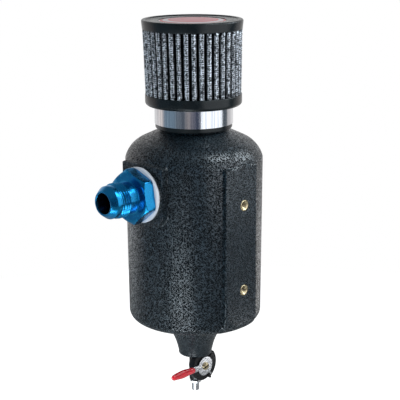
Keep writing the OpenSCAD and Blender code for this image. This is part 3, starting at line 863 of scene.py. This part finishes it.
# One grid of cloth, folded by two curves that give each pleat's turn and depth
def pleatTree():
    tree = bpy.data.node_groups.new("foldedCloth", "GeometryNodeTree")
    face = tree.interface
    face.new_socket("Geometry", in_out="INPUT", socket_type="NodeSocketGeometry")
    for kind, names in (
            ("Int", ("Pleats", "Steps", "Rows")),
            ("Float", ("Radius", "Taper", "Depth", "Low", "Height", "Uneven", "Seed", "Start")),
            ("Material", ("Material",))):
        for name in names:
            face.new_socket(name, in_out="INPUT", socket_type="NodeSocket" + kind)
    face.new_socket("Geometry", in_out="OUTPUT", socket_type="NodeSocketGeometry")
    given = tree.nodes.new("NodeGroupInput")
    g = {socket.name: Signal(tree, socket) for socket in given.outputs if socket.name}
    count = g["Pleats"] * g["Steps"]
    sheet = count.node("GeometryNodeMeshGrid", {
        "Size X": 1.0, "Size Y": 1.0, "Vertices X": count + 1, "Vertices Y": g["Rows"]})
    spot = sheet.node("GeometryNodeInputPosition")
    along = (axisOf(spot, "X") + 0.5) * g["Pleats"]
    up = axisOf(spot, "Y") + 0.5
    phase = along.maths("FRACT", along + 0.0001) - 0.0001
    turn = curved(phase, [(0, 0), (0.035, 0.09), (0.42, 0.22), (0.455, 0.27), (0.5, 0.5)], True)
    rise = curved(phase, [(0, 0), (0.035, 0.03), (0.40, 0.86), (0.445, 0.955), (0.5, 1.0)], False)
    angle = (along - phase + turn + g["Start"]) * (2 * math.pi) / g["Pleats"]
    around = angle.node("ShaderNodeCombineXYZ", {
        0: angle.maths("COSINE", angle) * 3.2 + g["Seed"], 1: angle.maths("SINE", angle) * 3.2, 2: up * 0.7})
    aside = around.node("ShaderNodeVectorMath", {0: around, 1: (7.1, 3.3, 0.0)}, operation="ADD")
    sway = (noise(around, 2.2) - 0.5) * g["Uneven"] * pleat["sway"]
    puff = (noise(aside, 3.1, 1.0) - 0.5) * g["Uneven"] * pleat["puff"]
    waist = 1 - pleat["waist"] * angle.maths("SINE", up * math.pi)
    crest = (g["Radius"] - g["Taper"] * (1 - up)) * waist
    r = crest - g["Depth"] * (1 - rise) + puff * rise
    swayed = angle + sway / g["Radius"]
    folded = angle.node("ShaderNodeCombineXYZ", {
        0: r * angle.maths("COSINE", swayed), 1: r * angle.maths("SINE", swayed),
        2: g["Low"] + g["Height"] * up})
    flat = along.node("ShaderNodeCombineXYZ", {0: along * foldedWidth * mm, 1: up * g["Height"] * mm, 2: 0.0})
    cloth = sheet.node(
        "GeometryNodeStoreNamedAttribute", {"Geometry": sheet, "Name": "UVMap", "Value": flat},
        data_type="FLOAT2", domain="CORNER")
    cloth = cloth.node("GeometryNodeSetPosition", {"Geometry": cloth, "Position": folded})
    cloth = cloth.node("GeometryNodeMergeByDistance", {"Geometry": cloth, "Distance": 0.01})
    cloth = cloth.node("GeometryNodeRealizeInstances", {"Geometry": cloth})
    cloth = cloth.node("GeometryNodeSetMaterial", {"Geometry": cloth, "Material": g["Material"]})
    cloth.to(tree.nodes.new("NodeGroupOutput").inputs[0])
    return tree


def makePleats():
    v = pleat
    piece = placed("pleatedCloth", bpy.data.meshes.new("cloth"))
    fold = piece.modifiers.new("fold", "NODES")
    fold.node_group = pleatTree()
    values = {
        "Pleats": v["count"], "Radius": v["radius"], "Taper": v["taper"], "Depth": v["depth"],
        "Low": vent["baseTop"] - v["tucked"], "Height": vent["capBottom"] - vent["baseTop"] + 2 * v["tucked"],
        "Steps": v["steps"], "Rows": v["rows"], "Uneven": v["uneven"], "Seed": v["seed"], "Start": v["start"],
        "Material": finishes["filter_cloth"]}
    for socket in fold.node_group.interface.items_tree:
        if socket.in_out == "INPUT" and socket.name in values:
            fold[socket.identifier] = values[socket.name]
    thick = piece.modifiers.new("thick", "SOLIDIFY")
    thick.thickness = v["thick"]
    thick.offset = -1
    mesh = applied(piece)
    mesh.transform(onAxis())
    mesh.shade_smooth()
    addPiece("pleatedCloth", leaned(mesh), "tank", "filter_cloth", "filter_pleats")


makeBase()
makeTopCap()
makeDisc()
makePleats()
say("filter folded")


# Hose clamp and drain valve: CAD solids with their edges broken, as on machined or cast parts
softEdge = {"weld": 2e-6, "flat": 0.6, "angle": 28, "segments": 2, "even": 80}


def softened(name, node, width, slotName, body):
    v = softEdge
    mesh = nodes[node].data.copy()
    work = bmesh.new()
    work.from_mesh(mesh)
    bmesh.ops.remove_doubles(work, verts=work.verts, dist=v["weld"])
    bmesh.ops.dissolve_limit(work, angle_limit=math.radians(v["flat"]), verts=work.verts, edges=work.edges)
    work.to_mesh(mesh)
    work.free()
    if mesh.attributes.get("custom_normal"):
        mesh.attributes.remove(mesh.attributes["custom_normal"])
    mesh.shade_smooth()
    piece = placed(name, mesh)
    edge = piece.modifiers.new("edge", "BEVEL")
    edge.width = width * mm
    edge.segments = v["segments"]
    edge.limit_method = "ANGLE"
    edge.angle_limit = math.radians(v["angle"])
    even = piece.modifiers.new("even", "WEIGHTED_NORMAL")
    even.keep_sharp = True
    even.weight = v["even"]
    addPiece(name, applied(piece), body, slotName, node)


softened("clampBand", "clamp_band", 0.12, "polished_steel", "tank")
softened("clampHousing", "clamp_housing", 0.25, "clamp_steel", "tank")
softened("clampScrew", "clamp_screw", 0.2, "clamp_steel", "clamp_screw")
softened("valveBody", "valve_body", 0.35, "black_metal", "tank")
softened("leverPlate", "lever_plate", 0.2, "plated_steel", "lever")
softened("leverScrew", "lever_screw", 0.12, "brass", "lever")
softened("outletNipple", "outlet_nipple", 0.15, "plated_steel", "tank")

# Raised black rim between the lever's two stops, behind the face of the drum
stopRim = {
    "inner": 12.2, "outer": 15.2, "back": 6, "front": 9.4, "edge": 0.6, "from": -60, "to": 36, "steps": 40}


def makeStopRim():
    v = stopRim
    outline = rounded([
        (v["inner"], v["back"]), (v["outer"], v["back"], v["edge"]), (v["outer"], v["front"], v["edge"]),
        (v["inner"], v["front"])], 3)
    points = []
    for i in range(v["steps"] + 1):
        turn = math.radians(v["from"] + (v["to"] - v["from"]) * i / v["steps"])
        points += [Vector((p[0] * math.cos(turn), p[0] * math.sin(turn), p[1])) for p in outline]
    count = len(outline)
    faces = ringFaces(v["steps"] + 1, count)
    faces += [tuple(reversed(range(count))), tuple(range(v["steps"] * count, len(points)))]
    addPiece("stopRim", meshOf((points, faces), onStem(), 40), "tank", "black_metal")


# Sleeve dipped on the lever's blade: widest at its middle, with a round tip and a thin lip
sleeve = {
    "start": 13, "tip": 37.9, "halfWide": 3.5, "narrowed": 0.30, "halfThick": 2.2, "thinned": 0.14,
    "nose": 3.4, "lip": 0.14, "lipLength": 1.0, "rise": 1.5, "plate": 11.1, "rings": 34, "around": 36}


def makeSleeve():
    v = sleeve
    points = []
    for i in range(v["rings"]):
        along = math.sin(i / v["rings"] * math.pi / 2) ** 0.9
        x = v["start"] + (v["tip"] - v["start"]) * along
        middle = easeIn(2 * along) - easeIn(2 * along - 1)
        nose = clamp01((x - v["tip"]) / v["nose"] + 1)
        whole = math.sqrt(1 - nose * nose) * (1 - v["lip"] * (1 - easeIn((x - v["start"]) / v["lipLength"])))
        wide = v["halfWide"] * (1 - v["narrowed"] * (1 - middle)) * whole
        thick = v["halfThick"] * (1 - v["thinned"] * along) * whole
        points += [Vector((x, wide * math.cos(a), thick * math.sin(a))) for a in evenTurn(v["around"])]
    count = v["around"]
    last = len(points) - count
    faces = ringFaces(v["rings"], count)
    faces += [(last + k, last + (k + 1) % count, len(points)) for k in range(count)]
    faces.append(tuple(range(count)))
    points.append(Vector((v["tip"], 0, 0)))
    turned = Matrix.Rotation(math.radians(180 - v["rise"]), 4, "Z")
    frameOf = onStem() @ Matrix.Translation((0, 0, v["plate"])) @ turned
    addPiece("leverSleeve", meshOf((points, faces), frameOf, 60), "lever", "red_vinyl", "lever_sleeve")


makeStopRim()
makeSleeve()
say("valve and lever dressed")


# Stage: white surroundings, a dark room behind the camera, and soft lamps
studio = {"ambient": 0.13, "floor": -0.45, "floorSize": 1.3, "floorSides": 96}
facing = 90 - view["azimuth"]  # degrees clockwise from +X, seen from above, to where the camera stands
# What shiny parts mirror, by degrees to the camera's right
pale, warm, cool, dark = (0.85, 0.85, 0.85), (0.66, 0.61, 0.60), (0.17, 0.24, 0.31), (0.12, 0.145, 0.18)
room = (
    (-180, pale), (-103, warm), (-94, cool), (-60, cool), (-50, dark), (-30, (0.10, 0.12, 0.15)),
    (-16, (0.26, 0.24, 0.25)), (-2, (0.15, 0.15, 0.19)), (8, (0.06, 0.07, 0.11)), (86, (0.06, 0.07, 0.10)),
    (92, (0.07, 0.09, 0.11)), (112, (0.09, 0.11, 0.13)), (120, (0.74, 0.71, 0.70)), (180, pale))


def makeWorld():
    world = bpy.data.worlds.new("studio")
    bpy.context.scene.world = world
    world.use_nodes = True
    tree = world.node_tree
    tree.nodes.clear()
    path = tree.nodes.new("ShaderNodeLightPath")
    seen, glossy, through = (
        Signal(tree, path.outputs[f"Is {kind} Ray"]) for kind in ("Camera", "Glossy", "Transmission"))
    direction = Signal(tree, tree.nodes.new("ShaderNodeTexCoord").outputs["Generated"])
    x, y, z = (axisOf(direction, letter) for letter in "XYZ")
    turn = seen.maths("ARCTAN2", y, x) * (180 / math.pi)
    right = turn.maths("WRAP", turn + facing, 180.0, -180.0)
    walls = right.node("ShaderNodeValToRGB", {0: (right + 180) / 360})
    ramp = walls.socket.node.color_ramp
    ramp.interpolation = "EASE"
    while len(ramp.elements) < len(room):
        ramp.elements.new(0.5)
    for element, (degree, colour) in zip(ramp.elements, room):
        element.position = (degree + 180) / 360
        element.color = (*colour, 1)
    around = tint(step(z, -0.66, -0.52), (0.85, 0.88, 0.92), walls)  # the floor shines from below
    mirrored = tint(step(z, 0.35, 0.75), around, (0.22, 0.25, 0.28))
    lit = tint(glossy, (studio["ambient"],) * 3, mirrored)
    sky = tree.nodes.new("ShaderNodeBackground")
    tint(seen.maths("MAXIMUM", seen, through), lit, (1.0, 1.0, 1.0)).to(sky.inputs[0])
    tree.links.new(sky.outputs[0], tree.nodes.new("ShaderNodeOutputWorld").inputs[0])


def makeFloor():
    size, sides = studio["floorSize"], studio["floorSides"]
    mesh = bpy.data.meshes.new("floor")
    ring = [Vector((size * math.cos(a), size * math.sin(a), studio["floor"])) for a in evenTurn(sides)]
    mesh.from_pydata(ring, [], [tuple(range(sides))])
    finish, sockets, place = newFinish("paleFloor", (0.86, 0.86, 0.86), 0.9, Emission_Strength=1.0)
    seen = place.node("ShaderNodeLightPath", out="Is Camera Ray")
    tint(seen, (0.0, 0.0, 0.0), (1.0, 1.0, 1.0)).to(sockets["Emission Color"])
    mesh.materials.append(finish)
    placed("floor", mesh)


# Degrees to the camera's right and up, distance and size in metres, power, and the height aimed at
def addLamp(name, right, rise, distance, wide, tall, watts, target, mirrored=True, colour=(0.84, 0.94, 1.0)):
    data = bpy.data.lights.new(name, "AREA")
    data.shape = "RECTANGLE"
    data.size = wide
    data.size_y = tall
    data.energy = watts
    data.color = colour
    lamp = placed(name, data)
    turn = math.radians(right - facing)
    tilt = math.radians(rise)
    away = Vector((math.cos(turn) * math.cos(tilt), math.sin(turn) * math.cos(tilt), math.sin(tilt)))
    lamp.location = Vector((0, axisY * mm, target)) + away * distance
    lamp.rotation_euler = away.to_track_quat("Z", "Y").to_euler()
    lamp.visible_glossy = mirrored


makeWorld()
makeFloor()
addLamp("softbox", 54, 0, 0.3, 0.405, 0.38, 0.6, 0.14, colour=(0.94, 0.97, 1.0))
addLamp("kicker", 89, 0, 0.3, 0.08, 0.07, 0.027, -0.193, colour=(0.97, 0.98, 1.0))
addLamp("upperRight", 62, 50, 0.62, 0.3, 0.3, 1.5, 0.12)
addLamp("highRight", 100, 30, 0.6, 0.3, 0.3, 1.3, 0.08)
addLamp("left", -48, 6, 1.3, 0.8, 1.2, 8.6, 0.03, mirrored=False)
addLamp("farLeft", -130, 0, 1.0, 0.5, 0.3, 0.3, -0.29)
addLamp("front", -21, -18, 0.5, 0.26, 0.08, 0.24, -0.06)
addLamp("frontLow", -21, -38, 0.4, 0.26, 0.1, 0.5, -0.06)
addLamp("rim", 140, 0, 0.8, 0.3, 0.24, 0.3, -0.32, colour=(1.0, 0.98, 0.96))
bpy.context.scene.view_settings.view_transform = "Standard"
say("stage lit")
